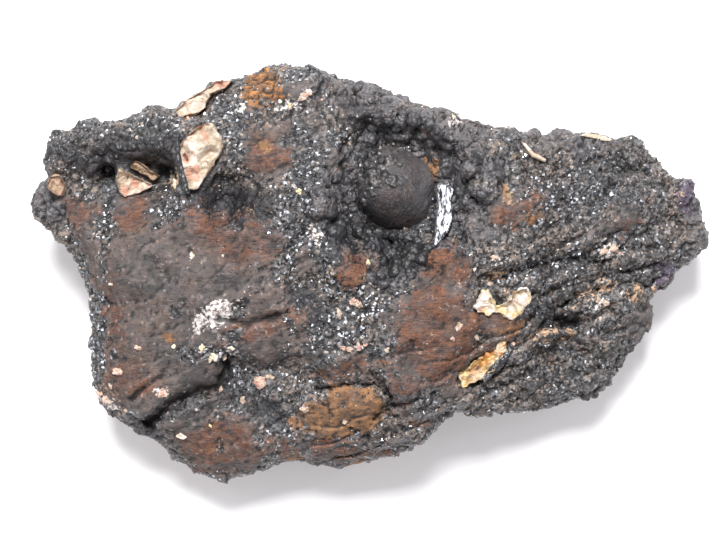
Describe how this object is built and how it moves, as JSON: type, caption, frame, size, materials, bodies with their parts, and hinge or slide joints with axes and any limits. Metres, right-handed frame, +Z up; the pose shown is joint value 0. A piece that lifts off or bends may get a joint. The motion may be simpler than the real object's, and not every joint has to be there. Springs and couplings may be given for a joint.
{
  "type": "goethite specimen",
  "caption": "Hand specimen of goethite: a broken lump of brown iron oxide rock with a black warty crust, a smooth dome in a hollow, and pale crystals bedded in it.",
  "frame": {"origin": "on the flat underside that the specimen rests on, under the middle of the lump", "axes": "+Z up with the show side on top, +X along the lump to its pointed right end, +Y to the edge with the ochre peak"},
  "size_m": [0.1092, 0.0671, 0.0319],
  "materials": {
    "iron_rock": "broken brown iron oxide rock, matte and granular, with glittering black crust between rusty patches",
    "goethite_crust": "near-black botryoidal goethite with a submetallic sheen",
    "pale_crystal": "cream crystal with pink and rusty stains, broken faces a little glossy",
    "brown_crystal": "tan to pinkish brown crystal, satin",
    "white_crystal": "white crystal with yellow and rusty stains, slightly glossy",
    "orange_crystal": "cream crystal stained orange, satin"
  },
  "bodies": {
    "root": {"rock": "iron_rock", "hollow_crust": "goethite_crust", "kite_crystal": "pale_crystal", "wedge_crystal": "pale_crystal", "blade_crystal": "brown_crystal", "rim_crystal": "pale_crystal", "corner_crystal": "brown_crystal", "white_crystal": "white_crystal", "cream_crystal": "orange_crystal"}
  },
  "joints": []
}
